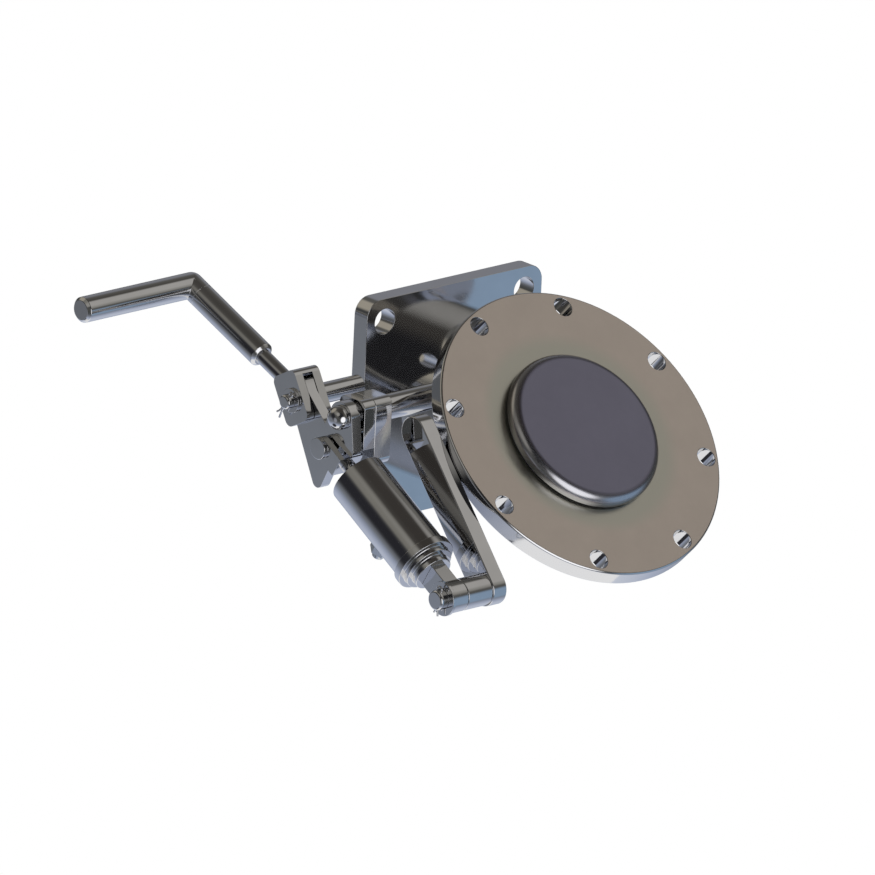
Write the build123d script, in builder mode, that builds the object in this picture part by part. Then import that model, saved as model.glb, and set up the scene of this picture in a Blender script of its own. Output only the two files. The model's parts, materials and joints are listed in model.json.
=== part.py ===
"""Bottom discharge valve for a road tanker: tilted tank flange, lift poppet,
mitred tube, square outlet flange, and a side lever worked by a folding crank
handle and held shut by a small cylinder.  Millimetres, +Z up, +Y out of the outlet.
The origin is the centre of the tank flange's mating face.
"""
import os
from math import cos, hypot, radians, sin, sqrt

from build123d import *

os.makedirs("parts", exist_ok=True)

# Fits and clearances
running_gap = 0.05
seat_gap = 0.1
touch_gap = 0.3
cheek_gap = 1.5
loose_pin_gap = 0.7
cut_overrun = 5.0

# Tank flange
flange_tilt_degrees = 45.0
tank_flange_d = 220.0
tank_flange_t = 14.0
tank_bolt_edge = 10.0
tank_bolt_hole_d = 14.0
tank_bolt_count = 8
seat_margin = 18.5
seat_recess_depth = 2.0
flange_edge_chamfer = 1.0

# Tube and outlet flange
tube_od = 124.0
tube_wall = 12.0
outlet_axis_drop = 8.6
outlet_face_y = 147.0
outlet_flange_size = 160.0
outlet_flange_t = 14.0
outlet_corner_r = 12.0
outlet_bolt_edge = 16.35
outlet_bolt_hole_d = 18.0

# Poppet, seal, stem and guide
poppet_overlap = 8.5
poppet_rim_r = 3.5
poppet_height = 10.0
seal_inset = 1.5
seal_bore_gap = 1.5
stem_d = 14.0
stem_socket_depth = 4.0
foot_d = 18.0
foot_dome_r = 12.0
foot_t = 6.0
foot_socket_depth = 2.0
guide_hub_d = 24.0
guide_hub_top = 3.0
guide_hub_length = 8.0
guide_ring_wall = 4.0
guide_ring_length = 7.0
guide_arm_w = 7.0
guide_arm_count = 3

# Operating shaft, its housing and bearing block
shaft_y = 74.0
shaft_z = 19.0
shaft_d = 12.0
shaft_inner_x = 12.0
shaft_collar_d = 16.0
shaft_thread_d = 10.0
shaft_thread_length = 6.0
housing_od = 18.0
housing_stand_out = 57.0
housing_inner_x = 38.0
block_half_w = 13.0
block_above = 12.0
block_below = 36.0
block_t = 15.0
block_corner_r = 6.0
block_boss_t = 10.0
block_fork_gap = 6.5

# Lift finger inside the tube
finger_t = 16.0
finger_hub_r = 13.0
finger_tip_r = 3.5
finger_nose_r = 6.0
finger_tip_drop = 14.5

# Support arm and anchor pin
arm_rim_gap = 0.3
arm_t = 12.0
arm_length = 118.0
arm_lean_degrees = 49.6
arm_foot_wall = 5.0
anchor_y = -41.0
anchor_z = -78.0
anchor_pin_d = 14.0
anchor_pin_tail = 7.0
anchor_collar_d = 22.0
anchor_washer_d = 24.0
anchor_washer_t = 2.5

# Lever plate
lever_block_gap = 2.0
lever_t = 8.0
lever_hub_r = 11.0
lever_knuckle_r = 10.5
lever_fork_r = 9.0
lever_tail_r = 5.0
lever_heel_r = 3.0
lever_pad_r = 14.5
knuckle_from_shaft = (42.0, 2.0)
fork_from_shaft = (12.0, -24.0)
tail_from_shaft = (21.0, -51.0)
heel_from_shaft = (-11.0, -22.0)
heel_back_from_shaft = (-2.5, -18.0)
hub_nut_d = 17.0
hub_nut_t = 9.0
hub_nut_dome_r = 7.5

# Knuckle and crank handle
handle_rise_degrees = 21.8
knuckle_length = 36.0
knuckle_width = 24.0
knuckle_t = 22.0
knuckle_cheek_gap = 0.4
knuckle_lean_degrees = 60.0
knuckle_offset = 2.0
knuckle_corner_r = 5.0
knuckle_slot_gap = 0.5
knuckle_pin_d = 10.0
knuckle_pin_head_d = 14.5
knuckle_pin_head_t = 38.0
knuckle_pin_tail = 6.0
knuckle_washer_d = 17.0
knuckle_washer_t = 2.0
handle_neck_d = 11.0
handle_neck_start = 15.5
handle_arm_start = 47.0
handle_d = 18.0
handle_reach = 129.0
handle_bend_lead = 4.0
grip_length = 100.0
grip_end_chamfer = 2.0

# Cylinder, rod and fork, along the line from the anchor pin to the fork pin
cylinder_od = 40.0
cylinder_bore_d = 34.0
eye_r = 11.0
eye_t = 12.0
eye_shank_w = 18.0
eye_reach = 22.0
cap_ring_ds = (28.0, 36.0, 44.0)
cap_ring_ts = (5.0, 4.0, 6.0)
cap_plug_t = 7.0
barrel_length = 77.5
gland_plug_t = 8.0
gland_boss_d = 24.0
gland_boss_t = 1.5
rod_d = 10.0
piston_t = 10.0
piston_from_cap = 29.0
fork_cheek_t = 5.0
fork_half_w = 7.5
fork_slot_depth = 15.5
fork_web_t = 4.0
fork_pin_d = 10.0
fork_pin_head_d = 15.0
fork_pin_head_t = 3.0
fork_pin_tail = 1.5
port_from_cap = 33.0
port_spigot_d = 10.0
port_spigot_depth = 2.5
port_hex_flats = 14.0
port_hex_t = 6.0
port_tube_d = 8.0
port_tube_length = 5.0
port_bore_d = 5.0

# Sizes worked out from the pieces that they fit
tank_bolt_circle_d = tank_flange_d - 2 * tank_bolt_edge
valve_bore_d = tube_od - 2 * tube_wall
outlet_bolt_spacing = outlet_flange_size - 2 * outlet_bolt_edge
poppet_d = valve_bore_d + 2 * poppet_overlap
seat_recess_d = poppet_d + 2 * seat_margin
seal_od = poppet_d - 2 * seal_inset
seal_bore_d = valve_bore_d + 2 * seal_bore_gap
arm_foot_r = anchor_pin_d / 2 + arm_foot_wall

# Frames and places worked out from the sizes above
tilt = radians(flange_tilt_degrees)
tank_plane = Plane(origin=(0, 0, 0), x_dir=(1, 0, 0), z_dir=(0, -sin(tilt), cos(tilt)))
tank_back = tank_plane.offset(-tank_flange_t)
seat_plane = tank_plane.offset(-seat_recess_depth)
stem_axis = Axis((0, 0, 0), tank_plane.z_dir)
outlet_plane = Plane(
    origin=(0, outlet_face_y, -outlet_axis_drop), x_dir=(-1, 0, 0), z_dir=(0, 1, 0)
)
outlet_inner = outlet_plane.offset(-outlet_flange_t)

arm_inner_x = tank_flange_d / 2 + arm_rim_gap
arm_outer_x = arm_inner_x + arm_t
block_inner_x = tube_od / 2 + housing_stand_out
block_outer_x = block_inner_x + block_t
boss_outer_x = block_outer_x + block_boss_t
lever_inner_x = boss_outer_x + lever_block_gap
lever_mid_x = lever_inner_x + lever_t / 2
lever_outer_x = lever_inner_x + lever_t
shaft_end_x = lever_outer_x + shaft_thread_length
fork_half_t = lever_t / 2 + cheek_gap + fork_cheek_t

shaft_point = (shaft_y, shaft_z)
anchor_point = (anchor_y, anchor_z)
arm_lean = radians(arm_lean_degrees)
arm_top_point = (anchor_y + arm_length * cos(arm_lean), anchor_z + arm_length * sin(arm_lean))
knuckle_point = (shaft_y + knuckle_from_shaft[0], shaft_z + knuckle_from_shaft[1])
fork_point = (shaft_y + fork_from_shaft[0], shaft_z + fork_from_shaft[1])
tail_point = (shaft_y + tail_from_shaft[0], shaft_z + tail_from_shaft[1])
heel_point = (shaft_y + heel_from_shaft[0], shaft_z + heel_from_shaft[1])
heel_back_point = (shaft_y + heel_back_from_shaft[0], shaft_z + heel_back_from_shaft[1])

# The shaft and the finger tip, seen in the flange's own directions
shaft_above = -shaft_y * sin(tilt) + shaft_z * cos(tilt)
tip_above = shaft_above - finger_tip_drop
tip_point = (-tip_above * sin(tilt), tip_above * cos(tilt))
foot_end = tip_above + finger_nose_r + touch_gap

# The cylinder's line
cylinder_length = hypot(fork_point[0] - anchor_y, fork_point[1] - anchor_z)
cylinder_dir = (
    0,
    (fork_point[0] - anchor_y) / cylinder_length,
    (fork_point[1] - anchor_z) / cylinder_length,
)
cylinder_plane = Plane(
    origin=(-lever_mid_x, anchor_y, anchor_z), x_dir=(1, 0, 0), z_dir=cylinder_dir
)
cap_start = eye_reach
barrel_start = cap_start + sum(cap_ring_ts)
barrel_end = barrel_start + barrel_length
fork_back = cylinder_length - fork_slot_depth - fork_web_t

# The handle's line
rise = radians(handle_rise_degrees)
handle_dir = (0, cos(rise), sin(rise))
knuckle_lean = radians(knuckle_lean_degrees)
knuckle_dir = (0, cos(knuckle_lean), sin(knuckle_lean))
knuckle_front = knuckle_width / 2 - knuckle_offset * sin(knuckle_lean - rise)
knuckle_slot_above = lever_pad_r + knuckle_slot_gap
knuckle_origin = Vector(-lever_mid_x, knuckle_point[0], knuckle_point[1])
handle_plane = Plane(origin=knuckle_origin, x_dir=(1, 0, 0), z_dir=handle_dir)


def side_plane(x):
    """Plane parallel to the valve's middle plane, with Y to the right and Z up."""
    return Plane.YZ.offset(x)


def line_side_plane(x, point, direction):
    """Side plane at x with its origin on a point and its first axis along a direction."""
    return Plane(origin=(x, point[0], point[1]), x_dir=direction, z_dir=(1, 0, 0))


# Tank flange
with BuildPart() as tank_flange:
    with BuildSketch(tank_back):
        Circle(tank_flange_d / 2)
        Circle(valve_bore_d / 2, mode=Mode.SUBTRACT)
        with PolarLocations(tank_bolt_circle_d / 2, tank_bolt_count, 180 / tank_bolt_count):
            Circle(tank_bolt_hole_d / 2, mode=Mode.SUBTRACT)
    extrude(amount=tank_flange_t)
    with BuildSketch(seat_plane):
        Circle(seat_recess_d / 2)
    extrude(amount=seat_recess_depth, mode=Mode.SUBTRACT)
    rim_edges = tank_flange.edges().filter_by(GeomType.CIRCLE).group_by(SortBy.RADIUS)[-1]
    chamfer(rim_edges, flange_edge_chamfer)
tank_flange.part.label = "tank_flange"
export_step(tank_flange.part, "parts/tank_flange.step")

# Tube, mitred onto the back of the tank flange
tube_reach = outlet_face_y + tank_flange_d
with BuildPart() as valve_tube:
    with BuildSketch(outlet_inner):
        Circle(tube_od / 2)
        Circle(valve_bore_d / 2, mode=Mode.SUBTRACT)
    extrude(amount=-tube_reach)
    split(bisect_by=tank_back, keep=Keep.BOTTOM)
    with BuildSketch(side_plane(-tube_od / 2 - cut_overrun)):
        with Locations(shaft_point):
            Circle(housing_od / 2 + seat_gap)
    extrude(amount=tube_od / 2 + cut_overrun, mode=Mode.SUBTRACT)
valve_tube.part.label = "valve_tube"
export_step(valve_tube.part, "parts/valve_tube.step")

# Square outlet flange
with BuildPart() as outlet_flange:
    with BuildSketch(outlet_inner):
        RectangleRounded(outlet_flange_size, outlet_flange_size, outlet_corner_r)
        Circle(valve_bore_d / 2, mode=Mode.SUBTRACT)
        with GridLocations(outlet_bolt_spacing, outlet_bolt_spacing, 2, 2):
            Circle(outlet_bolt_hole_d / 2, mode=Mode.SUBTRACT)
    extrude(amount=outlet_flange_t)
    outer_edges = outlet_flange.faces().sort_by(Axis.Y)[-1].outer_wire().edges()
    chamfer(outer_edges, flange_edge_chamfer)
outlet_flange.part.label = "outlet_flange"
export_step(outlet_flange.part, "parts/outlet_flange.step")

# Stem guide: a hub on thin arms in a ring that seats in the flange bore
guide_top = tank_plane.offset(-guide_hub_top)
guide_ring_r = valve_bore_d / 2 - seat_gap
with BuildPart() as stem_guide:
    with BuildSketch(guide_top):
        Circle(guide_hub_d / 2)
    extrude(amount=-guide_hub_length)
    with BuildSketch(guide_top):
        Circle(guide_ring_r)
        Circle(guide_ring_r - guide_ring_wall, mode=Mode.SUBTRACT)
        with PolarLocations(guide_ring_r / 2, guide_arm_count, 90):
            Rectangle(guide_ring_r - guide_ring_wall, guide_arm_w)
    extrude(amount=-guide_ring_length)
    with BuildSketch(guide_top):
        Circle(stem_d / 2 + running_gap)
    extrude(amount=-guide_hub_length, mode=Mode.SUBTRACT)
stem_guide.part.label = "stem_guide"
export_step(stem_guide.part, "parts/stem_guide.step")

# Poppet disc, standing proud of the flange
with BuildPart() as poppet_disc:
    with BuildSketch(tank_plane):
        Circle(poppet_d / 2)
    extrude(amount=poppet_height)
    top_edge = poppet_disc.faces().sort_by(stem_axis)[-1].outer_wire().edges()
    fillet(top_edge, poppet_rim_r)
    with BuildSketch(tank_plane):
        Circle(stem_d / 2 + seat_gap)
    extrude(amount=stem_socket_depth, mode=Mode.SUBTRACT)
poppet_disc.part.label = "poppet_disc"
export_step(poppet_disc.part, "parts/poppet_disc.step")

# Seal ring under the poppet's rim
with BuildPart() as poppet_seal:
    with BuildSketch(tank_plane):
        Circle(seal_od / 2)
        Circle(seal_bore_d / 2, mode=Mode.SUBTRACT)
    extrude(amount=touch_gap - seat_recess_depth)
poppet_seal.part.label = "poppet_seal"
export_step(poppet_seal.part, "parts/poppet_seal.step")

# Stem, from its socket in the poppet down to the foot
foot_top = foot_end + foot_t
stem_end = foot_top - foot_socket_depth
with BuildPart() as poppet_stem:
    with BuildSketch(tank_plane.offset(stem_end)):
        Circle(stem_d / 2)
    extrude(amount=stem_socket_depth - stem_end)
poppet_stem.part.label = "poppet_stem"
export_step(poppet_stem.part, "parts/poppet_stem.step")

# Foot: a domed button that the finger's nose pushes
dome_rise = foot_dome_r - sqrt(foot_dome_r**2 - (foot_d / 2) ** 2)
with BuildPart() as stem_foot:
    with BuildSketch(Plane(origin=(0, 0, 0), x_dir=(1, 0, 0), z_dir=tank_plane.y_dir * -1)):
        with BuildLine():
            Polyline(
                (foot_d / 2, foot_end + dome_rise),
                (foot_d / 2, foot_top),
                (stem_d / 2 + seat_gap, foot_top),
                (stem_d / 2 + seat_gap, stem_end),
                (0, stem_end),
                (0, foot_end),
            )
            RadiusArc((0, foot_end), (foot_d / 2, foot_end + dome_rise), -foot_dome_r)
        make_face()
    revolve(axis=stem_axis)
stem_foot.part.label = "stem_foot"
export_step(stem_foot.part, "parts/stem_foot.step")

# Shaft housing, welded through the tube's wall
with BuildPart() as shaft_housing:
    with BuildSketch(side_plane(-block_inner_x)):
        with Locations(shaft_point):
            Circle(housing_od / 2)
            Circle(shaft_d / 2 + running_gap, mode=Mode.SUBTRACT)
    extrude(amount=block_inner_x - housing_inner_x)
shaft_housing.part.label = "shaft_housing"
export_step(shaft_housing.part, "parts/shaft_housing.step")

# Support arm, from the side of the tank flange's rim down to the anchor pin
with BuildPart() as support_arm:
    with BuildSketch(side_plane(-arm_outer_x)):
        with Locations(arm_top_point, anchor_point):
            Circle(arm_foot_r)
        make_hull()
        with Locations(anchor_point):
            Circle(anchor_pin_d / 2 + seat_gap, mode=Mode.SUBTRACT)
    extrude(amount=arm_t)
support_arm.part.label = "support_arm"
export_step(support_arm.part, "parts/support_arm.step")

# Bearing block on the end of the housing
block_mid = (shaft_y, shaft_z + (block_above - block_below) / 2)
block_height = block_above + block_below
with BuildPart() as bearing_block:
    with BuildSketch(side_plane(-block_outer_x)):
        with Locations(block_mid):
            RectangleRounded(2 * block_half_w, block_height, block_corner_r)
        with Locations(shaft_point):
            Circle(shaft_d / 2 + running_gap, mode=Mode.SUBTRACT)
    extrude(amount=block_t)
bearing_block.part.label = "bearing_block"
export_step(bearing_block.part, "parts/bearing_block.step")

# Boss on the block, cut back on a slope to clear the fork
with BuildPart() as bearing_boss:
    with BuildSketch(side_plane(-boss_outer_x)):
        with Locations(block_mid):
            RectangleRounded(2 * block_half_w, block_height, block_corner_r)
        with Locations(shaft_point):
            Circle(shaft_d / 2 + running_gap, mode=Mode.SUBTRACT)
    extrude(amount=block_boss_t)
    with BuildSketch(line_side_plane(-boss_outer_x, fork_point, cylinder_dir)):
        with Locations((0, fork_half_w + block_fork_gap)):
            Rectangle(2 * block_height, 2 * block_height, align=(Align.CENTER, Align.MAX))
    extrude(amount=block_boss_t, mode=Mode.SUBTRACT)
bearing_boss.part.label = "bearing_boss"
export_step(bearing_boss.part, "parts/bearing_boss.step")

# Anchor pin and its distance collar
anchor_pin_end = lever_mid_x + eye_t / 2 + anchor_washer_t + anchor_pin_tail
with BuildPart() as anchor_pin:
    with BuildSketch(side_plane(-anchor_pin_end)):
        with Locations(anchor_point):
            Circle(anchor_pin_d / 2)
    extrude(amount=anchor_pin_end - arm_inner_x)
    pin_end = anchor_pin.faces().sort_by(Axis.X)[0].outer_wire().edges()
    chamfer(pin_end, flange_edge_chamfer)
anchor_pin.part.label = "anchor_pin"
export_step(anchor_pin.part, "parts/anchor_pin.step")

anchor_collar_end = lever_mid_x - eye_t / 2 - touch_gap
with BuildPart() as anchor_collar:
    with BuildSketch(side_plane(-anchor_collar_end)):
        with Locations(anchor_point):
            Circle(anchor_collar_d / 2)
            Circle(anchor_pin_d / 2 + seat_gap, mode=Mode.SUBTRACT)
    extrude(amount=anchor_collar_end - arm_outer_x)
anchor_collar.part.label = "anchor_collar"
export_step(anchor_collar.part, "parts/anchor_collar.step")

anchor_washer_x = lever_mid_x + eye_t / 2 + touch_gap
with BuildPart() as anchor_washer:
    with BuildSketch(side_plane(-anchor_washer_x - anchor_washer_t)):
        with Locations(anchor_point):
            Circle(anchor_washer_d / 2)
            Circle(anchor_pin_d / 2 + seat_gap, mode=Mode.SUBTRACT)
    extrude(amount=anchor_washer_t)
anchor_washer.part.label = "anchor_washer"
export_step(anchor_washer.part, "parts/anchor_washer.step")

# Operating shaft with its shoulder and threaded end
collar_inner_x = boss_outer_x + touch_gap
with BuildPart() as operating_shaft:
    with BuildSketch(side_plane(-lever_inner_x)):
        with Locations(shaft_point):
            Circle(shaft_d / 2)
    extrude(amount=lever_inner_x + shaft_inner_x)
    with BuildSketch(side_plane(-lever_inner_x)):
        with Locations(shaft_point):
            Circle(shaft_collar_d / 2)
    extrude(amount=lever_inner_x - collar_inner_x)
    with BuildSketch(side_plane(-shaft_end_x)):
        with Locations(shaft_point):
            Circle(shaft_thread_d / 2)
    extrude(amount=shaft_end_x - lever_inner_x)
    shaft_end_edges = operating_shaft.faces().sort_by(Axis.X)[0].outer_wire().edges()
    chamfer(shaft_end_edges, flange_edge_chamfer)
operating_shaft.part.label = "operating_shaft"
export_step(operating_shaft.part, "parts/operating_shaft.step")

# Lift finger with a round nose under the stem's foot
with BuildPart() as lift_finger:
    with BuildSketch(side_plane(-finger_t / 2)):
        with Locations(shaft_point):
            Circle(finger_hub_r)
        with Locations(tip_point):
            Circle(finger_tip_r)
        make_hull()
        with Locations(tip_point):
            Circle(finger_nose_r)
        with Locations(shaft_point):
            Circle(shaft_d / 2 + seat_gap, mode=Mode.SUBTRACT)
    extrude(amount=finger_t)
lift_finger.part.label = "lift_finger"
export_step(lift_finger.part, "parts/lift_finger.step")

# Lever plate: shaft hub with a heel, knuckle end with a flush pad, fork hole and tail
with BuildPart() as lever_plate:
    with BuildSketch(side_plane(-lever_outer_x)):
        with BuildSketch(mode=Mode.PRIVATE) as upper_web:
            with Locations(shaft_point):
                Circle(lever_hub_r)
            with Locations(fork_point):
                Circle(lever_fork_r)
            make_hull()
        with BuildSketch(mode=Mode.PRIVATE) as heel_web:
            with Locations(shaft_point):
                Circle(lever_hub_r)
            with Locations(heel_point, heel_back_point):
                Circle(lever_heel_r)
            make_hull()
        with BuildSketch(mode=Mode.PRIVATE) as knuckle_pad:
            with Locations(Location(knuckle_point, knuckle_lean_degrees)):
                Rectangle(
                    2 * lever_pad_r, knuckle_front - touch_gap, align=(Align.CENTER, Align.MIN)
                )
            with Locations(knuckle_point):
                Circle(lever_pad_r, mode=Mode.INTERSECT)
        with BuildSketch(mode=Mode.PRIVATE) as lower_web:
            with Locations(knuckle_point):
                Circle(lever_knuckle_r)
            with Locations(fork_point):
                Circle(lever_fork_r)
            with Locations(tail_point):
                Circle(lever_tail_r)
            make_hull()
        add(upper_web.sketch)
        add(heel_web.sketch)
        add(knuckle_pad.sketch)
        add(lower_web.sketch)
        with Locations(shaft_point):
            Circle(shaft_thread_d / 2 + seat_gap, mode=Mode.SUBTRACT)
        with Locations(knuckle_point):
            Circle(knuckle_pin_d / 2 + running_gap, mode=Mode.SUBTRACT)
        with Locations(fork_point):
            Circle(fork_pin_d / 2 + loose_pin_gap, mode=Mode.SUBTRACT)
    extrude(amount=lever_t)
lever_plate.part.label = "lever_plate"
export_step(lever_plate.part, "parts/lever_plate.step")

# Domed cap nut on the shaft's threaded end
with BuildPart() as hub_nut:
    with BuildSketch(side_plane(-lever_outer_x)):
        with Locations(shaft_point):
            Circle(hub_nut_d / 2)
    extrude(amount=-hub_nut_t)
    dome_edge = hub_nut.faces().sort_by(Axis.X)[0].outer_wire().edges()
    fillet(dome_edge, hub_nut_dome_r)
    with BuildSketch(side_plane(-lever_outer_x)):
        with Locations(shaft_point):
            Circle(shaft_thread_d / 2 + seat_gap)
    extrude(amount=-shaft_thread_length - touch_gap, mode=Mode.SUBTRACT)
hub_nut.part.label = "hub_nut"
export_step(hub_nut.part, "parts/hub_nut.step")

# Knuckle: a leaning block, slotted from below over the lever plate
knuckle_half_t = knuckle_t / 2
knuckle_slot_t = lever_t + 2 * knuckle_cheek_gap
knuckle_size = knuckle_length + knuckle_width
knuckle_outer_x = lever_mid_x + knuckle_half_t
with BuildPart() as knuckle:
    with BuildSketch(line_side_plane(-knuckle_outer_x, knuckle_point, handle_dir)):
        with Locations(Location((knuckle_offset, 0), knuckle_lean_degrees - handle_rise_degrees)):
            RectangleRounded(knuckle_length, knuckle_width, knuckle_corner_r)
    extrude(amount=knuckle_t)
    slot_plane = line_side_plane(-lever_mid_x - knuckle_slot_t / 2, knuckle_point, knuckle_dir)
    with BuildSketch(slot_plane):
        with Locations((knuckle_slot_above, 0)):
            Rectangle(knuckle_size, knuckle_size, align=(Align.MAX, Align.CENTER))
    extrude(amount=knuckle_slot_t, mode=Mode.SUBTRACT)
    with BuildSketch(side_plane(-knuckle_outer_x)):
        with Locations(knuckle_point):
            Circle(knuckle_pin_d / 2 + seat_gap)
    extrude(amount=knuckle_t, mode=Mode.SUBTRACT)
    with BuildSketch(handle_plane.offset(handle_neck_start)):
        Circle(handle_neck_d / 2 + seat_gap)
    extrude(amount=handle_arm_start - handle_neck_start, mode=Mode.SUBTRACT)
knuckle.part.label = "knuckle"
export_step(knuckle.part, "parts/knuckle.step")

# Knuckle pin: a long round head inside, a tail and washer outside
knuckle_pin_end = knuckle_outer_x + knuckle_washer_t + knuckle_pin_tail
knuckle_inner_x = lever_mid_x - knuckle_half_t
with BuildPart() as knuckle_pin:
    with BuildSketch(side_plane(-knuckle_pin_end)):
        with Locations(knuckle_point):
            Circle(knuckle_pin_d / 2)
    extrude(amount=knuckle_pin_end - knuckle_inner_x)
    with BuildSketch(side_plane(-knuckle_inner_x)):
        with Locations(knuckle_point):
            Circle(knuckle_pin_head_d / 2)
    extrude(amount=knuckle_pin_head_t)
    knuckle_pin_tip = knuckle_pin.faces().sort_by(Axis.X)[0].outer_wire().edges()
    chamfer(knuckle_pin_tip, flange_edge_chamfer)
knuckle_pin.part.label = "knuckle_pin"
export_step(knuckle_pin.part, "parts/knuckle_pin.step")

with BuildPart() as knuckle_washer:
    with BuildSketch(side_plane(-knuckle_outer_x - knuckle_washer_t)):
        with Locations(knuckle_point):
            Circle(knuckle_washer_d / 2)
            Circle(knuckle_pin_d / 2 + seat_gap, mode=Mode.SUBTRACT)
    extrude(amount=knuckle_washer_t)
knuckle_washer.part.label = "knuckle_washer"
export_step(knuckle_washer.part, "parts/knuckle_washer.step")

# Thin neck between the knuckle and the handle's arm
with BuildPart() as handle_neck:
    with BuildSketch(handle_plane.offset(handle_neck_start)):
        Circle(handle_neck_d / 2)
    extrude(amount=handle_arm_start - handle_neck_start)
handle_neck.part.label = "handle_neck"
export_step(handle_neck.part, "parts/handle_neck.step")

# Straight arm of the handle
handle_arm_end = handle_reach - handle_d / 2 - handle_bend_lead
with BuildPart() as handle_arm:
    with BuildSketch(handle_plane.offset(handle_arm_start)):
        Circle(handle_d / 2)
    extrude(amount=handle_arm_end - handle_arm_start)
    arm_start_edges = handle_arm.faces().sort_by(Axis.Y)[0].outer_wire().edges()
    chamfer(arm_start_edges, grip_end_chamfer)
handle_arm.part.label = "handle_arm"
export_step(handle_arm.part, "parts/handle_arm.step")

# Grip, set square off the arm over a ball corner
bend_corner = knuckle_origin + Vector(*handle_dir) * handle_reach
with BuildPart() as handle_grip:
    with BuildSketch(handle_plane.offset(handle_arm_end)):
        Circle(handle_d / 2)
    extrude(amount=handle_reach - handle_arm_end)
    with Locations(bend_corner):
        Sphere(handle_d / 2)
    with BuildSketch(side_plane(bend_corner.X)):
        with Locations((bend_corner.Y, bend_corner.Z)):
            Circle(handle_d / 2)
    extrude(amount=-grip_length)
    grip_end_edges = handle_grip.faces().sort_by(Axis.X)[0].outer_wire().edges()
    chamfer(grip_end_edges, grip_end_chamfer)
handle_grip.part.label = "handle_grip"
export_step(handle_grip.part, "parts/handle_grip.step")

# Cylinder eye on the anchor pin
with BuildPart() as cylinder_eye:
    with BuildSketch(line_side_plane(-lever_mid_x - eye_t / 2, anchor_point, cylinder_dir)):
        Circle(eye_r)
        Rectangle(eye_reach, eye_shank_w, align=(Align.MIN, Align.CENTER))
        Circle(anchor_pin_d / 2 + running_gap, mode=Mode.SUBTRACT)
    extrude(amount=eye_t)
cylinder_eye.part.label = "cylinder_eye"
export_step(cylinder_eye.part, "parts/cylinder_eye.step")

# Stepped cap at the cylinder's lower end
with BuildPart() as cylinder_cap:
    ring_start = cap_start
    for ring_d, ring_t in zip(cap_ring_ds, cap_ring_ts):
        with BuildSketch(cylinder_plane.offset(ring_start)):
            Circle(ring_d / 2)
        extrude(amount=ring_t)
        ring_start += ring_t
    with BuildSketch(cylinder_plane.offset(barrel_start)):
        Circle(cylinder_bore_d / 2 - seat_gap)
    extrude(amount=cap_plug_t)
cylinder_cap.part.label = "cylinder_cap"
export_step(cylinder_cap.part, "parts/cylinder_cap.step")

# Barrel, with a hole for the port on its underside
port_dir = (0, cylinder_dir[2], -cylinder_dir[1])
port_origin = cylinder_plane.offset(barrel_start + port_from_cap).origin
port_plane = Plane(origin=port_origin, x_dir=(1, 0, 0), z_dir=port_dir)
with BuildPart() as cylinder_barrel:
    with BuildSketch(cylinder_plane.offset(barrel_start)):
        Circle(cylinder_od / 2)
        Circle(cylinder_bore_d / 2, mode=Mode.SUBTRACT)
    extrude(amount=barrel_length)
    with BuildSketch(port_plane):
        Circle(port_spigot_d / 2 + seat_gap)
    extrude(amount=cylinder_od, mode=Mode.SUBTRACT)
cylinder_barrel.part.label = "cylinder_barrel"
export_step(cylinder_barrel.part, "parts/cylinder_barrel.step")

# Port fitting: spigot, hexagon and a short tube
port_base = cylinder_od / 2
with BuildPart() as port_fitting:
    with BuildSketch(port_plane.offset(port_base - port_spigot_depth)):
        Circle(port_spigot_d / 2)
    extrude(amount=port_spigot_depth)
    with BuildSketch(port_plane.offset(port_base)):
        RegularPolygon(port_hex_flats / 2, 6, major_radius=False)
    extrude(amount=port_hex_t)
    with BuildSketch(port_plane.offset(port_base + port_hex_t)):
        Circle(port_tube_d / 2)
    extrude(amount=port_tube_length)
    with BuildSketch(port_plane.offset(port_base + port_hex_t + port_tube_length)):
        Circle(port_bore_d / 2)
    extrude(amount=-port_tube_length, mode=Mode.SUBTRACT)
port_fitting.part.label = "port_fitting"
export_step(port_fitting.part, "parts/port_fitting.step")

# Gland that closes the barrel round the rod
with BuildPart() as cylinder_gland:
    with BuildSketch(cylinder_plane.offset(barrel_end - gland_plug_t)):
        Circle(cylinder_bore_d / 2 - seat_gap)
    extrude(amount=gland_plug_t)
    with BuildSketch(cylinder_plane.offset(barrel_end)):
        Circle(gland_boss_d / 2)
    extrude(amount=gland_boss_t)
    with BuildSketch(cylinder_plane.offset(barrel_end - gland_plug_t)):
        Circle(rod_d / 2 + running_gap)
    extrude(amount=gland_plug_t + gland_boss_t, mode=Mode.SUBTRACT)
cylinder_gland.part.label = "cylinder_gland"
export_step(cylinder_gland.part, "parts/cylinder_gland.step")

# Rod with its piston
piston_start = barrel_start + piston_from_cap
with BuildPart() as cylinder_rod:
    with BuildSketch(cylinder_plane.offset(piston_start)):
        Circle(rod_d / 2)
    extrude(amount=fork_back - piston_start)
    with BuildSketch(cylinder_plane.offset(piston_start)):
        Circle(cylinder_bore_d / 2 - touch_gap)
    extrude(amount=piston_t)
cylinder_rod.part.label = "cylinder_rod"
export_step(cylinder_rod.part, "parts/cylinder_rod.step")

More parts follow.
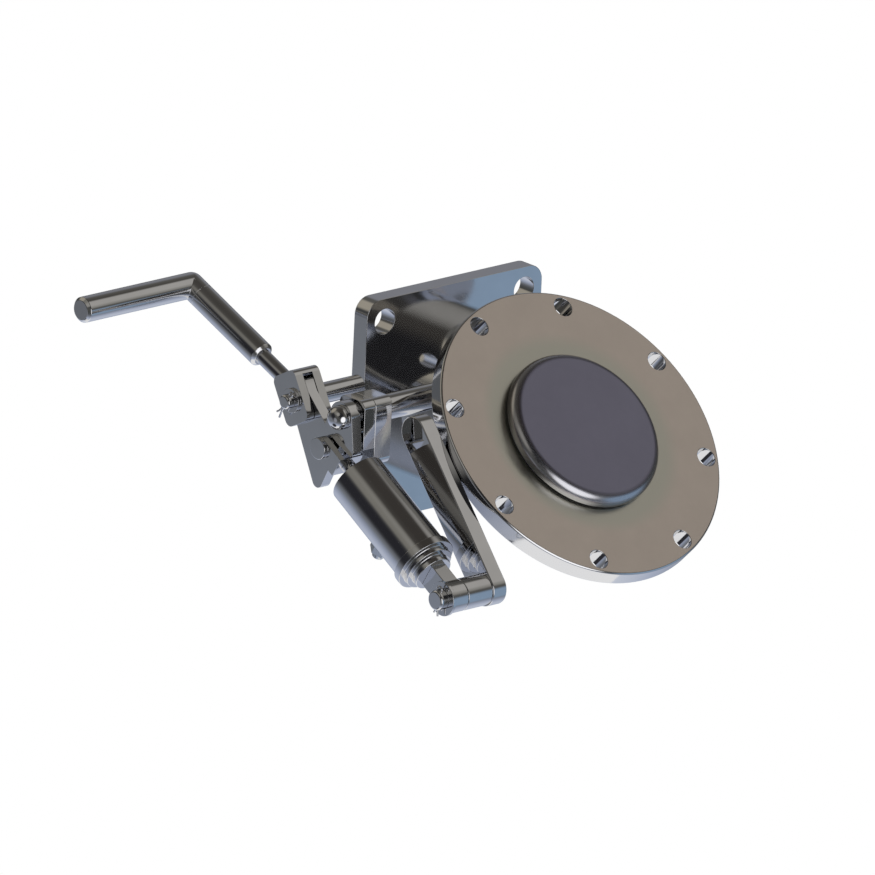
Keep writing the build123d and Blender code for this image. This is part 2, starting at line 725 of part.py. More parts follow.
# Fork that straddles the lever plate
rod_dir = (0, -cylinder_dir[1], -cylinder_dir[2])
fork_slot_t = lever_t + 2 * cheek_gap
with BuildPart() as rod_fork:
    with BuildSketch(line_side_plane(-lever_mid_x - fork_half_t, fork_point, rod_dir)):
        Circle(fork_half_w)
        fork_body_length = fork_slot_depth + fork_web_t
        Rectangle(fork_body_length, 2 * fork_half_w, align=(Align.MIN, Align.CENTER))
        Circle(fork_pin_d / 2 + seat_gap, mode=Mode.SUBTRACT)
    extrude(amount=2 * fork_half_t)
    with BuildSketch(line_side_plane(-lever_mid_x - fork_slot_t / 2, fork_point, rod_dir)):
        with Locations((fork_slot_depth, 0)):
            slot_length = fork_slot_depth + fork_half_w + cut_overrun
            slot_width = 2 * (fork_half_w + cut_overrun)
            Rectangle(slot_length, slot_width, align=(Align.MAX, Align.CENTER))
    extrude(amount=fork_slot_t, mode=Mode.SUBTRACT)
rod_fork.part.label = "rod_fork"
export_step(rod_fork.part, "parts/rod_fork.step")

# Fork pin, its head outside
fork_outer_x = lever_mid_x + fork_half_t
with BuildPart() as fork_pin:
    with BuildSketch(side_plane(-fork_outer_x)):
        with Locations(fork_point):
            Circle(fork_pin_d / 2)
    extrude(amount=2 * fork_half_t + fork_pin_tail)
    with BuildSketch(side_plane(-fork_outer_x - fork_pin_head_t)):
        with Locations(fork_point):
            Circle(fork_pin_head_d / 2)
    extrude(amount=fork_pin_head_t)
fork_pin.part.label = "fork_pin"
export_step(fork_pin.part, "parts/fork_pin.step")
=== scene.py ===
"""Looks of the bottom discharge valve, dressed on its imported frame.  Metres, +Z up."""

import json
from collections import namedtuple
from math import cos, pi, radians, sin, tau

import bmesh
import bpy
from mathutils import Matrix, Vector


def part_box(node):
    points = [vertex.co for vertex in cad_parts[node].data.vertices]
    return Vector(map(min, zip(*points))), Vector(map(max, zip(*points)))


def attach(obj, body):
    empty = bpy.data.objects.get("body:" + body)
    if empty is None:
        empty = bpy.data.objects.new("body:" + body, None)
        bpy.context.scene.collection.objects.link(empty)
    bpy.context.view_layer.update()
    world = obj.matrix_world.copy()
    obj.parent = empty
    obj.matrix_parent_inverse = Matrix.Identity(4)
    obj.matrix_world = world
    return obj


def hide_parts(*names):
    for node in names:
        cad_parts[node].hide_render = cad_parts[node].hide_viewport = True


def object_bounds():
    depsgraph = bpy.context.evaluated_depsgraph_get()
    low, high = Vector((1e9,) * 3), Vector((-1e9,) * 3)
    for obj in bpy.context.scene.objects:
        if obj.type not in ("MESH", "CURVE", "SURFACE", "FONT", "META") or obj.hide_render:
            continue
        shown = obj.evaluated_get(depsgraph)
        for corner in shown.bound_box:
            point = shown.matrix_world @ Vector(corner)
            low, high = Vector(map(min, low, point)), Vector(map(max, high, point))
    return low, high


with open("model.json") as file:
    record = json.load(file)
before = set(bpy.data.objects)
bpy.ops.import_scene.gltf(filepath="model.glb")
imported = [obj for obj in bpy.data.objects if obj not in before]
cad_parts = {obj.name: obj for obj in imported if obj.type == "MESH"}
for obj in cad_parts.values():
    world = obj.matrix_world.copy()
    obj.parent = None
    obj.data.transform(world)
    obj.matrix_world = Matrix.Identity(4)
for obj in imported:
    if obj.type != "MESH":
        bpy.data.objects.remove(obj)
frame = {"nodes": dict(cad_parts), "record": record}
cad_low, cad_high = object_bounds()
nodes = frame["nodes"]
mounts = {mount["name"]: mount for mount in frame["record"]["mounts"]}
body_of_node = {
    node: body
    for body, members in frame["record"]["behaviour"]["bodies"].items()
    for node in members
}
slot_of_node = {part["node"]: part["material_slot"] for part in frame["record"]["subparts"]}

MM = 0.001
scene = bpy.context.scene
scene.view_settings.view_transform = "Standard"

# Axes of the two flanges, from the frame, and the side that carries the linkage
TANK_NORMAL = Vector(mounts["tank_bolts"]["axis"]).normalized()
OUTLET_NORMAL = Vector(mounts["outlet_bolts"]["axis"]).normalized()
ORIGIN = (0.0, 0.0, 0.0)
SIDE = Vector((-1, 0, 0))

# Camera: a very long lens, fitted to the flange holes in the 875 x 875 picture
IMAGE_SIDE = 875
PIXELS_PER_METRE = 1470.6
ORIGIN_PIXEL = (581.0, 432.7)
CAMERA_RIGHT = Vector((0.746, -0.665, 0.045)).normalized()
CAMERA_UP = Vector((0.174, 0.261, 0.950))
CAMERA_DISTANCE = 20.0
CAMERA_REACH = 80.0
SENSOR_WIDTH = 36.0

# Steel: smudges, hairlines and the depth of its marks
SMUDGE_SCALE = 38.0
SMUDGE_DETAIL = 4.0
SMUDGE_ROUGHNESS = 0.6
DARK_TINT_SHARE = 0.90
LIGHT_TINT_SHARE = 1.08
HAIR_STRETCH = (900.0, 60.0, 900.0)
HAIR_DETAIL = 2.0
MARK_DEPTH = 0.2 * MM

# Cosines between which a surface begins to count as facing an axis
FACING_NONE = 0.80
FACING_FULL = 0.97

# Tank flange and poppet: radii where the finish or the painted shade in the recess changes, and
# pitches of the lathe marks
FLANGE_RIM_START = 88 * MM
RECESS_LIP = 80 * MM
RECESS_RADIUS = 77 * MM
RECESS_FOOT = 66 * MM
RECESS_DEPTH_LEAST = 1 * MM
RECESS_TOLERANCE = 0.5 * MM
POPPET_RIM_START = 40 * MM
FLANGE_PITCH = 0.6 * MM
OUTLET_PITCH = 0.8 * MM
POPPET_PITCH = 0.9 * MM

# Colours
WHITE = (1.0, 1.0, 1.0)
BRIGHT = (0.70, 0.70, 0.71)
FLANGE_TAN = (0.66, 0.585, 0.53)
# Painted shade: a darker, greener tan for the turned dish round the poppet, where the poppet's shade
# falls
RECESS_SHADE = (0.575, 0.565, 0.50)
POPPET_VIOLET = (0.262, 0.258, 0.345)
POPPET_RIM_GREY = (0.58, 0.575, 0.60)
PLATED_GREY = (0.62, 0.64, 0.66)
RUBBER_BLACK = (0.02, 0.02, 0.021)
RUBBER_ROUGHNESS = 0.55
FLOOR_COLOUR = (0.85, 0.85, 0.86)
FLOOR_ROUGHNESS = 0.9
WORLD_GREY = (0.75, 0.75, 0.77)

# Rounded edges
EDGE = 0.45 * MM
FINE_EDGE = 0.25 * MM
GRIP_EDGE = 0.3 * MM
LEVER_EDGE = 0.7 * MM
BLOCK_EDGE = 0.8 * MM
BEVEL_SEGMENTS = 3
BEVEL_ANGLE = radians(28)
MERGE_DISTANCE = 0.002 * MM
FLAT_ANGLE = radians(0.5)
SHARP_ANGLE = radians(30)
NORMAL_WEIGHT = 100

# Poppet
POPPET_EDGE = 7.5 * MM
POPPET_FOOT_EDGE = 0.8 * MM
SOCKET_RADIUS = 7.1 * MM
SOCKET_DEPTH = 4.0 * MM
ARC_STEPS = 14
TURN_STEPS = 160

# Split pins
WIRE_RADIUS = 0.7 * MM
WIRE_ROUNDNESS = 3
WIRE_ORDER = 3
WIRE_STEPS = 6
SPLIT_PIN_HEAD = 5.6 * MM
LEG_GAP = 0.5 * MM
LEG_BEND = 3 * MM
LEG_SPREAD = 2.4 * MM
LONG_LEG_SPREAD = 1.6 * MM
LONG_LEG_EXTRA = 1.5 * MM
EYE_WIDTH_SHARE = 1.5
EYE_LENGTH_SHARE = 2.4
KNUCKLE_TAIL = 3.0 * MM
KNUCKLE_REACH = 13.0 * MM
KNUCKLE_EYE = 1.2 * MM
KNUCKLE_WAY = (0, 0.55, -0.83)
ANCHOR_TAIL = 3.4 * MM
ANCHOR_REACH = 10.0 * MM
ANCHOR_EYE = 1.7 * MM
ANCHOR_WAY = (0, 0.12, -1)

# Socket screw on the bearing boss
SCREW_RADIUS = 2.2 * MM
SCREW_HEIGHT = 1.6 * MM
SCREW_SINK = 0.1 * MM
SCREW_Y = 65.5 * MM
SCREW_Z = 10 * MM
SCREW_SEGMENTS = 24
SCREW_WALL_SHARE = 0.45
SCREW_DEPTH_SHARE = 0.6

# Floor, tent and lamps
FLOOR_Z = -1.6
FLOOR_SIDE = 60.0
TENT_RADIUS = 1.4
TENT_SUBDIVISIONS = 5
TENT_OPEN_SHARE = -0.90
WALL_TILT = 0.25
LAMP_SIZE = 0.9
LAMP_DISTANCE = 1.2

# Tones of the tent's wall, by height from -1 at its bottom to 1 at its top
WALL_TONES = (
    (-1.00, (0.86, 0.90, 0.98)), (-0.74, (0.46, 0.51, 0.64)), (-0.55, (0.27, 0.30, 0.37)),
    (-0.46, (0.21, 0.225, 0.25)), (-0.31, (0.125, 0.13, 0.145)), (-0.13, (0.085, 0.09, 0.09)),
    (0.10, (0.070, 0.070, 0.066)), (0.35, (0.105, 0.105, 0.10)), (0.60, (0.12, 0.115, 0.105)),
    (0.80, (0.085, 0.08, 0.072)), (1.00, (0.050, 0.045, 0.040)),
)

# Soft boxes and dark flags on the tent's wall: direction, full and zero angle in degrees, tone
WALL_PANELS = (
    ((0.64, -0.46, 0.62), 14, 30, (0.33, 0.32, 0.295)),
    ((0.64, -0.31, 0.70), 12, 26, (0.44, 0.425, 0.40)),
    ((0.64, -0.70, -0.31), 14, 28, (0.27, 0.37, 0.50)),
    ((-0.48, -0.70, 0.53), 16, 34, (0.022, 0.022, 0.024)),
    ((-0.708, 0.12, 0.695), 5, 22, (0.23, 0.22, 0.195)),
    ((0.64, 0.68, 0.36), 8, 26, (0.24, 0.245, 0.27)),
    ((-0.89, 0.41, 0.20), 8, 26, (0.025, 0.025, 0.030)),
    ((-0.20, -0.97, -0.06), 20, 29, (1.35, 1.35, 1.38)),
    ((-0.59, 0.28, -0.76), 12, 19, (0.03, 0.03, 0.036)),
    ((-0.34, 0.70, 0.64), 12, 26, (0.40, 0.365, 0.30)),
    ((-0.98, 0.00, -0.20), 9, 20, (0.30, 0.31, 0.345)),
    ((-0.70, -0.26, 0.66), 8, 20, (0.34, 0.33, 0.305)),
)

# Lamps: name, direction, watts
LAMPS = (("key", (0.5, -0.6, 0.8), 12.0), ("fill", (-0.8, -0.2, 0.6), 6.0))

# Sockets of a mix node by the kind of value: first, second, result
MIX_SOCKETS = {"RGBA": (6, 7, 2), "FLOAT": (2, 3, 0)}

# Lathe marks, painted shade across a turned recess, and the faces past a radius that don't look along
# the axis
Rings = namedtuple("Rings", "axis centre pitch")
RecessShade = namedtuple("RecessShade", "start end colour")
Rim = namedtuple("Rim", "start colour roughness")


def opaque(colour):
    """A colour with full alpha."""
    return (*colour, 1.0)


def box_middle(low, high):
    """The centre between two corners of a box."""
    return (Vector(low) + Vector(high)) / 2


def add_object(name, data):
    """A new object in the scene."""
    thing = bpy.data.objects.new(name, data)
    scene.collection.objects.link(thing)
    return thing


def new_material(name):
    """A material with a Principled surface: returns material, node tree and shader."""
    material = bpy.data.materials.new(name)
    material.use_nodes = True
    tree = material.node_tree
    return material, tree, tree.nodes["Principled BSDF"]


def feed(tree, socket, value):
    """Give an input a link from another socket, or a plain value."""
    if isinstance(value, bpy.types.NodeSocket):
        tree.links.new(value, socket)
    else:
        socket.default_value = value


def add_node(tree, kind, **inputs):
    """A node with its inputs set by name, an underscore standing for a space."""
    node = tree.nodes.new(kind)
    for name, value in inputs.items():
        feed(tree, node.inputs[name.replace("_", " ")], value)
    return node


def number_math(tree, operation, *values):
    """The result of a sum on numbers."""
    node = tree.nodes.new("ShaderNodeMath")
    node.operation = operation
    for socket, value in zip(node.inputs, values):
        feed(tree, socket, value)
    return node.outputs["Value"]


def vector_math(tree, operation, *values):
    """The result of a sum on vectors, which is a number for a length or a dot product."""
    node = tree.nodes.new("ShaderNodeVectorMath")
    node.operation = operation
    for socket, value in zip(node.inputs, values):
        feed(tree, socket, value)
    return node.outputs["Value" if operation in ("LENGTH", "DOT_PRODUCT") else "Vector"]


def ranged(tree, value, low, high, smooth=False, least=0.0, most=1.0):
    """Goes from least to most while a value goes from low to high."""
    node = add_node(
        tree, "ShaderNodeMapRange", Value=value, From_Min=low, From_Max=high, To_Min=least, To_Max=most
    )
    if smooth:
        node.interpolation_type = "SMOOTHSTEP"
    return node.outputs["Result"]


def mixed(tree, kind, factor, first, second):
    """Two colours (RGBA) or numbers (FLOAT) mixed by a factor: each is a socket or a plain value."""
    mix = tree.nodes.new("ShaderNodeMix")
    mix.data_type = kind
    first_socket, second_socket, result = MIX_SOCKETS[kind]
    feed(tree, mix.inputs[0], factor)
    feed(tree, mix.inputs[first_socket], first)
    feed(tree, mix.inputs[second_socket], second)
    return mix.outputs[result]


def ring_distance(tree, place, rings):
    """Distance of the shaded point from the axis of lathe marks."""
    from_centre = vector_math(tree, "SUBTRACT", place, rings.centre)
    across = vector_math(tree, "CROSS_PRODUCT", from_centre, rings.axis)
    return vector_math(tree, "LENGTH", across)


def face_share(tree, axis):
    """1 where the surface faces along an axis, 0 on rims and hole walls."""
    normal = tree.nodes.new("ShaderNodeTexCoord").outputs["Normal"]
    along = vector_math(tree, "DOT_PRODUCT", normal, axis)
    return ranged(tree, along, FACING_NONE, FACING_FULL)


def lathe_marks(tree, distance, pitch):
    """Height of fine turned rings."""
    turn = number_math(tree, "MULTIPLY", distance, tau / pitch)
    return number_math(tree, "SINE", turn)


def hairlines(tree, place):
    """Height of fine polishing lines."""
    stretch = add_node(tree, "ShaderNodeMapping", Vector=place, Scale=HAIR_STRETCH)
    hair = add_node(
        tree, "ShaderNodeTexNoise", Vector=stretch.outputs["Vector"], Scale=1.0, Detail=HAIR_DETAIL
    )
    return hair.outputs["Fac"]


def steel(name, colour, roughness, spread, scratch, rings=None, recess=None, rim=None):
    """Steel with smudged roughness and tint, with hairlines or turned rings, and with painted shade in
    a turned recess if one is given.
    """
    material, tree, shader = new_material(name)
    place = tree.nodes.new("ShaderNodeTexCoord").outputs["Object"]
    smudge = add_node(
        tree, "ShaderNodeTexNoise", Vector=place, Scale=SMUDGE_SCALE, Detail=SMUDGE_DETAIL,
        Roughness=SMUDGE_ROUGHNESS,
    ).outputs["Fac"]
    sheen = ranged(tree, smudge, 0.0, 1.0, least=roughness - spread, most=roughness + spread)
    tint = add_node(tree, "ShaderNodeValToRGB", Fac=smudge)
    dark, light = tint.color_ramp.elements
    dark.color = opaque(c * DARK_TINT_SHARE for c in colour)
    light.color = opaque(min(1.0, c * LIGHT_TINT_SHARE) for c in colour)
    shade = tint.outputs["Color"]
    if rings:
        distance = ring_distance(tree, place, rings)
        height = lathe_marks(tree, distance, rings.pitch)
    else:
        height = hairlines(tree, place)
    # Painted shade: darker and greener from the recess's lip in to its foot, and all the way inward
    if recess:
        recess_shade_share = ranged(tree, distance, recess.start, recess.end, smooth=True)
        shade = mixed(tree, "RGBA", recess_shade_share, shade, opaque(recess.colour))
    if rim:
        within = number_math(tree, "LESS_THAN", distance, rim.start)
        facing = number_math(tree, "MAXIMUM", face_share(tree, rings.axis), within)
        shade = mixed(tree, "RGBA", facing, opaque(rim.colour), shade)
        sheen = mixed(tree, "FLOAT", facing, rim.roughness, sheen)
    bump = add_node(tree, "ShaderNodeBump", Strength=scratch, Distance=MARK_DEPTH, Height=height)
    feed(tree, shader.inputs["Metallic"], 1.0)
    feed(tree, shader.inputs["Roughness"], sheen)
    feed(tree, shader.inputs["Base Color"], shade)
    feed(tree, shader.inputs["Normal"], bump.outputs["Normal"])
    return material


def seal_rubber():
    """Plain black rubber."""
    material, tree, shader = new_material("seal_rubber")
    feed(tree, shader.inputs["Base Color"], opaque(RUBBER_BLACK))
    feed(tree, shader.inputs["Roughness"], RUBBER_ROUGHNESS)
    return material


# Finishes: one for each slot, and two nodes with a look of their own
outlet_low, outlet_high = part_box("outlet_flange")
outlet_centre = tuple(box_middle(outlet_low, outlet_high))
polished = steel("polished_steel", BRIGHT, roughness=0.09, spread=0.03, scratch=0.002)
arm_steel = steel("arm_steel", BRIGHT, roughness=0.035, spread=0.01, scratch=0.0)
outlet_steel = steel(
    "outlet_steel", BRIGHT, roughness=0.08, spread=0.03, scratch=0.01,
    rings=Rings(tuple(OUTLET_NORMAL), outlet_centre, OUTLET_PITCH),
)
# The machined flange carries painted shade across the recess round the poppet
machined = steel(
    "machined_steel", FLANGE_TAN, roughness=0.30, spread=0.02, scratch=0.010,
    rings=Rings(tuple(TANK_NORMAL), ORIGIN, FLANGE_PITCH),
    recess=RecessShade(RECESS_LIP, RECESS_FOOT, RECESS_SHADE),
    rim=Rim(FLANGE_RIM_START, BRIGHT, roughness=0.08),
)
dark_poppet = steel(
    "poppet_steel", POPPET_VIOLET, roughness=0.32, spread=0.02, scratch=0.008,
    rings=Rings(tuple(TANK_NORMAL), ORIGIN, POPPET_PITCH),
    rim=Rim(POPPET_RIM_START, POPPET_RIM_GREY, roughness=0.22),
)
rubber = seal_rubber()
plated = steel("fitting_plated", PLATED_GREY, roughness=0.16, spread=0.03, scratch=0.02)
look_of_slot = {
    "polished_steel": polished,
    "machined_steel": machined,
    "poppet_steel": dark_poppet,
    "seal_rubber": rubber,
    "fitting_plated": plated,
}
look_of_node = {node: look_of_slot[slot_of_node[node]] for node in nodes}
look_of_node.update(outlet_flange=outlet_steel, support_arm=arm_steel)
for node, thing in nodes.items():
    thing.data.materials.clear()
    thing.data.materials.append(look_of_node[node])


def add_piece(name, mesh, body, material):
    """A new piece that moves with a body and takes a slot's finish."""
    piece = add_object(name, mesh)
    mesh.materials.clear()
    mesh.materials.append(material)
    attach(piece, body)
    return piece


def stand_in(name, mesh, node):
    """A piece that takes a node's place, with its body and look."""
    piece = add_piece(name, mesh, body_of_node[node], look_of_node[node])
    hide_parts(node)


def finished_mesh(work, name):
    """A mesh from finished bmesh work."""
    mesh = bpy.data.meshes.new(name)
    work.to_mesh(mesh)
    work.free()
    return mesh


def baked(thing):
    """The evaluated mesh of an object with its modifiers applied."""
    graph = bpy.context.evaluated_depsgraph_get()
    return bpy.data.meshes.new_from_object(thing.evaluated_get(graph))


def rounded(node, width, ease=None):
    """A copy of a node with its sharp edges rounded, in the node's place.

    ease: a function that moves the copy's points before its edges are rounded.
    """
    work = bmesh.new()
    work.from_mesh(nodes[node].data)
    if ease:
        ease(work)
    bmesh.ops.remove_doubles(work, verts=work.verts, dist=MERGE_DISTANCE)
    bmesh.ops.dissolve_limit(work, angle_limit=FLAT_ANGLE, verts=work.verts, edges=work.edges)
    soft_mesh = finished_mesh(work, node + "_soft")
    soft = add_object(node + "_soft", soft_mesh)
    bevel = soft.modifiers.new("round", "BEVEL")
    bevel.width = width
    bevel.segments = BEVEL_SEGMENTS
    bevel.limit_method = "ANGLE"
    bevel.angle_limit = BEVEL_ANGLE
    bevel.miter_outer = "MITER_ARC"
    bevel.use_clamp_overlap = True
    bevel.harden_normals = False
    soft_mesh.shade_smooth()
    even = soft.modifiers.new("even", "WEIGHTED_NORMAL")
    even.weight = NORMAL_WEIGHT
    mesh = baked(soft)
    bpy.data.objects.remove(soft)
    mesh.name = node + "_rounded"
    stand_in(node + "_rounded", mesh, node)


def ease_recess(work):
    """Draw the foot of the recess inward, so that its wall runs out as a shallow dish."""
    for vertex in work.verts:
        height = vertex.co.dot(TANK_NORMAL)
        spoke = vertex.co - TANK_NORMAL * height
        on_wall = abs(spoke.length - RECESS_RADIUS) < RECESS_TOLERANCE
        if height < -RECESS_DEPTH_LEAST and on_wall:
            vertex.co = TANK_NORMAL * height + spoke.normalized() * RECESS_FOOT


def turned(node, profile, axis):
    """A lathe-turned piece in a node's place: profile of (radius, height) along an axis."""
    work = bmesh.new()
    across = axis.orthogonal().normalized()
    line = [work.verts.new(across * radius + axis * height) for radius, height in profile]
    edges = [work.edges.new(pair) for pair in zip(line, line[1:])]
    bmesh.ops.spin(
        work, geom=line + edges, cent=ORIGIN, axis=axis, angle=tau, steps=TURN_STEPS, use_merge=True
    )
    bmesh.ops.remove_doubles(work, verts=work.verts, dist=MERGE_DISTANCE)
    bmesh.ops.recalc_face_normals(work, faces=work.faces)
    mesh = finished_mesh(work, node + "_turned")
    mesh.shade_smooth()
    mesh.set_sharp_from_angle(angle=SHARP_ANGLE)
    stand_in(node + "_turned", mesh, node)


# Rounded copies of every steel node but the poppet disc, which is turned
edge_of_node = {node: EDGE for node in nodes if slot_of_node[node] != "seal_rubber"}
edge_of_node.update(
    knuckle=BLOCK_EDGE, bearing_block=BLOCK_EDGE, bearing_boss=BLOCK_EDGE, support_arm=BLOCK_EDGE,
    lever_plate=LEVER_EDGE, handle_grip=GRIP_EDGE, handle_arm=GRIP_EDGE,
    port_fitting=FINE_EDGE, anchor_washer=FINE_EDGE, knuckle_washer=FINE_EDGE,
    stem_guide=FINE_EDGE, operating_shaft=FINE_EDGE,
)
del edge_of_node["poppet_disc"]
for node, width in edge_of_node.items():
    rounded(node, width, ease=ease_recess if node == "tank_flange" else None)

# Poppet: a disc with a generous round edge and the stem's socket below
heights = [vertex.co.dot(TANK_NORMAL) for vertex in nodes["poppet_disc"].data.vertices]
poppet_low, poppet_top = min(heights), max(heights)
poppet_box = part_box("poppet_disc")
poppet_radius = (poppet_box[1][0] - poppet_box[0][0]) / 2
poppet_profile = [
    (0.0, poppet_low + SOCKET_DEPTH),
    (SOCKET_RADIUS, poppet_low + SOCKET_DEPTH),
    (SOCKET_RADIUS, poppet_low),
    (poppet_radius - POPPET_FOOT_EDGE, poppet_low),
    (poppet_radius, poppet_low + POPPET_FOOT_EDGE),
]
for step in range(ARC_STEPS + 1):
    sweep = step / ARC_STEPS * pi / 2
    arc_radius = poppet_radius - POPPET_EDGE + POPPET_EDGE * cos(sweep)
    arc_height = poppet_top - POPPET_EDGE + POPPET_EDGE * sin(sweep)
    poppet_profile.append((arc_radius, arc_height))
poppet_profile.append((0.0, poppet_top))
turned("poppet_disc", poppet_profile, TANK_NORMAL)


def wire_mesh(name, points, radius):
    """A round wire along a smooth curve."""
    curve = bpy.data.curves.new(name, "CURVE")
    curve.dimensions = "3D"
    curve.bevel_depth = radius
    curve.bevel_resolution = WIRE_ROUNDNESS
    curve.use_fill_caps = True
    spline = curve.splines.new("NURBS")
    spline.points.add(len(points) - 1)
    for point, place in zip(spline.points, points):
        point.co = (*place, 1)
    spline.order_u = WIRE_ORDER
    spline.use_endpoint_u = True
    spline.resolution_u = WIRE_STEPS
    wire = add_object(name, curve)
    mesh = baked(wire)
    bpy.data.objects.remove(wire)
    mesh.shade_smooth()
    return mesh


def split_pin(name, middle, way, reach, eye, body):
    """Split pin through a pin's tail: an eye at one end, two spread legs at the other."""
    middle = Vector(middle)
    along = Vector(way).normalized()
    side = along.cross(SIDE).normalized()
    bend = reach - LEG_BEND
    eye_middle = SPLIT_PIN_HEAD + eye
    eye_end = SPLIT_PIN_HEAD + EYE_LENGTH_SHARE * eye
    eye_width = EYE_WIDTH_SHARE * eye
    route = (
        (reach, LEG_SPREAD), (bend, LEG_GAP), (0, LEG_GAP), (-SPLIT_PIN_HEAD, LEG_GAP),
        (-eye_middle, eye_width), (-eye_end, eye), (-eye_end, -eye), (-eye_middle, -eye_width),
        (-SPLIT_PIN_HEAD, -LEG_GAP), (0, -LEG_GAP), (bend, -LEG_GAP),
        (reach + LONG_LEG_EXTRA, -LONG_LEG_SPREAD),
    )
    points = [middle + along * forward + side * sideways for forward, sideways in route]
    add_piece(name, wire_mesh(name, points, WIRE_RADIUS), body, polished)


knuckle_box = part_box("knuckle_washer")
knuckle_middle = box_middle(*knuckle_box)
anchor_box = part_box("anchor_washer")
anchor_middle = box_middle(*anchor_box)
knuckle_tail_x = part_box("knuckle_pin")[0][0] + KNUCKLE_TAIL
anchor_tail_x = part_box("anchor_pin")[0][0] + ANCHOR_TAIL
split_pin(
    "knuckle_split_pin", (knuckle_tail_x, knuckle_middle.y, knuckle_middle.z), KNUCKLE_WAY,
    KNUCKLE_REACH, KNUCKLE_EYE, "handle",
)
split_pin(
    "anchor_split_pin", (anchor_tail_x, anchor_middle.y, anchor_middle.z), ANCHOR_WAY,
    ANCHOR_REACH, ANCHOR_EYE, "valve_body",
)


def socket_screw(name, place, radius, height, body):
    """Small cap screw with a round socket, its head toward the linkage's side."""
    work = bmesh.new()
    bmesh.ops.create_cone(
        work, cap_ends=True, segments=SCREW_SEGMENTS, radius1=radius, radius2=radius, depth=height
    )
    top = max(work.faces, key=lambda face: face.calc_center_median().z)
    bmesh.ops.inset_region(work, faces=[top], thickness=radius * SCREW_WALL_SHARE)
    bmesh.ops.translate(work, verts=list(top.verts), vec=(0, 0, -height * SCREW_DEPTH_SHARE))
    sideways = Matrix.Rotation(-pi / 2, 4, "Y")
    bmesh.ops.transform(work, matrix=Matrix.Translation(place) @ sideways, verts=work.verts)
    add_piece(name, finished_mesh(work, name), body, polished)


boss_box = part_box("bearing_boss")
screw_x = boss_box[0][0] - SCREW_HEIGHT / 2 + SCREW_SINK
socket_screw("block_screw", (screw_x, SCREW_Y, SCREW_Z), SCREW_RADIUS, SCREW_HEIGHT, "valve_body")

# Camera
camera_data = bpy.data.cameras.new("camera")
camera_data.sensor_width = SENSOR_WIDTH
camera_data.lens = PIXELS_PER_METRE * CAMERA_DISTANCE * SENSOR_WIDTH / IMAGE_SIDE
camera_data.clip_end = CAMERA_REACH
camera = add_object("camera", camera_data)
camera_back = CAMERA_RIGHT.cross(CAMERA_UP).normalized()
camera_up = camera_back.cross(CAMERA_RIGHT)
pixels_right = IMAGE_SIDE / 2 - ORIGIN_PIXEL[0]
pixels_down = IMAGE_SIDE / 2 - ORIGIN_PIXEL[1]
target = (CAMERA_RIGHT * pixels_right - camera_up * pixels_down) / PIXELS_PER_METRE
camera_turn = Matrix((CAMERA_RIGHT, camera_up, camera_back)).transposed().to_4x4()
camera.matrix_world = Matrix.Translation(target + camera_back * CAMERA_DISTANCE) @ camera_turn
scene.camera = camera


def seen_directly(tree):
    """1 for rays from the lens, from metal and through glass."""
    path = tree.nodes.new("ShaderNodeLightPath").outputs
    lens_or_metal = number_math(tree, "MAXIMUM", path["Is Camera Ray"], path["Is Glossy Ray"])
    return number_math(tree, "MAXIMUM", lens_or_metal, path["Is Transmission Ray"])


# Floor, far below: plain white to the lens, in metal and in glass
half = FLOOR_SIDE / 2
floor_mesh = bpy.data.meshes.new("floor")
floor_mesh.from_pydata(
    [(-half, -half, FLOOR_Z), (half, -half, FLOOR_Z), (half, half, FLOOR_Z), (-half, half, FLOOR_Z)],
    [], [(0, 1, 2, 3)],
)
floor = add_object("floor", floor_mesh)
floor_look, floor_tree, floor_shader = new_material("floor_white")
feed(floor_tree, floor_shader.inputs["Base Color"], opaque(FLOOR_COLOUR))
feed(floor_tree, floor_shader.inputs["Roughness"], FLOOR_ROUGHNESS)
floor_glow = add_node(floor_tree, "ShaderNodeEmission", Color=opaque(WHITE), Strength=1.0)
floor_mix = floor_tree.nodes.new("ShaderNodeMixShader")
feed(floor_tree, floor_mix.inputs[0], seen_directly(floor_tree))
feed(floor_tree, floor_mix.inputs[1], floor_shader.outputs["BSDF"])
feed(floor_tree, floor_mix.inputs[2], floor_glow.outputs["Emission"])
feed(floor_tree, floor_tree.nodes["Material Output"].inputs["Surface"], floor_mix.outputs["Shader"])
floor_mesh.materials.append(floor_look)

# World: white where the floor is white, light grey to everything else
world = bpy.data.worlds.new("studio")
scene.world = world
world.use_nodes = True
sky_tree = world.node_tree
sky = mixed(sky_tree, "RGBA", seen_directly(sky_tree), opaque(WORLD_GREY), opaque(WHITE))
feed(sky_tree, sky_tree.nodes["Background"].inputs["Color"], sky)

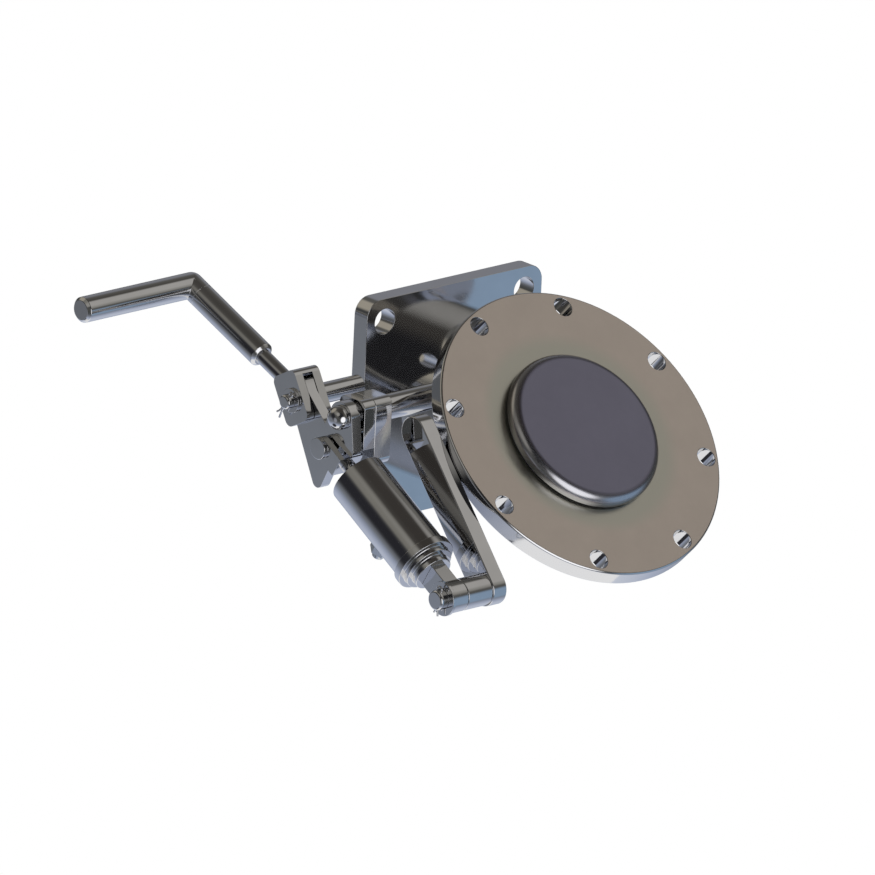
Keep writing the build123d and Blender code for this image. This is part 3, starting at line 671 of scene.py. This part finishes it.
# Studio tent round the part, open at the bottom: soft grey walls that the metal mirrors
tent_work = bmesh.new()
bmesh.ops.create_icosphere(tent_work, subdivisions=TENT_SUBDIVISIONS, radius=TENT_RADIUS)
opening = [vertex for vertex in tent_work.verts if vertex.co.z < TENT_OPEN_SHARE * TENT_RADIUS]
bmesh.ops.delete(tent_work, geom=opening, context="VERTS")
tent_mesh = finished_mesh(tent_work, "studio_tent")
tent = add_object("studio_tent", tent_mesh)
tent.location = box_middle(cad_low, cad_high)
tent_look, tent_tree, tent_shader = new_material("tent_walls")
tent_tree.nodes.remove(tent_shader)
tent_place = tent_tree.nodes.new("ShaderNodeTexCoord").outputs["Object"]
tent_way = vector_math(tent_tree, "NORMALIZE", tent_place)
slope = vector_math(tent_tree, "DOT_PRODUCT", tent_way, (0, -WALL_TILT, 1))
tones = add_node(tent_tree, "ShaderNodeValToRGB", Fac=ranged(tent_tree, slope, -1.0, 1.0))
stops = tones.color_ramp.elements
while len(stops) < len(WALL_TONES):
    stops.new(0.5)
for stop, (height, tone) in zip(stops, WALL_TONES):
    stop.position = (height + 1) / 2
    stop.color = opaque(tone)
wall = tones.outputs["Color"]
for way, full, zero, tone in WALL_PANELS:
    facing = vector_math(tent_tree, "DOT_PRODUCT", tent_way, Vector(way).normalized())
    share = ranged(tent_tree, facing, cos(radians(zero)), cos(radians(full)), smooth=True)
    wall = mixed(tent_tree, "RGBA", share, wall, opaque(tone))
tent_glow = add_node(tent_tree, "ShaderNodeEmission", Color=wall, Strength=1.0)
feed(tent_tree, tent_tree.nodes["Material Output"].inputs["Surface"], tent_glow.outputs["Emission"])
tent_look.cycles.emission_sampling = "NONE"
tent_mesh.materials.append(tent_look)
tent.visible_camera = False
tent.visible_diffuse = False
tent.visible_shadow = False
tent.visible_transmission = False

# Two large soft lamps for the parts that aren't metal
for name, way, watts in LAMPS:
    lamp_data = bpy.data.lights.new(name, "AREA")
    lamp_data.energy = watts
    lamp_data.size = LAMP_SIZE
    lamp = add_object(name, lamp_data)
    aim = Vector(way).normalized()
    lamp_turn = aim.to_track_quat("Z", "Y").to_matrix().to_4x4()
    lamp.matrix_world = Matrix.Translation(aim * LAMP_DISTANCE) @ lamp_turn
    lamp.visible_glossy = False
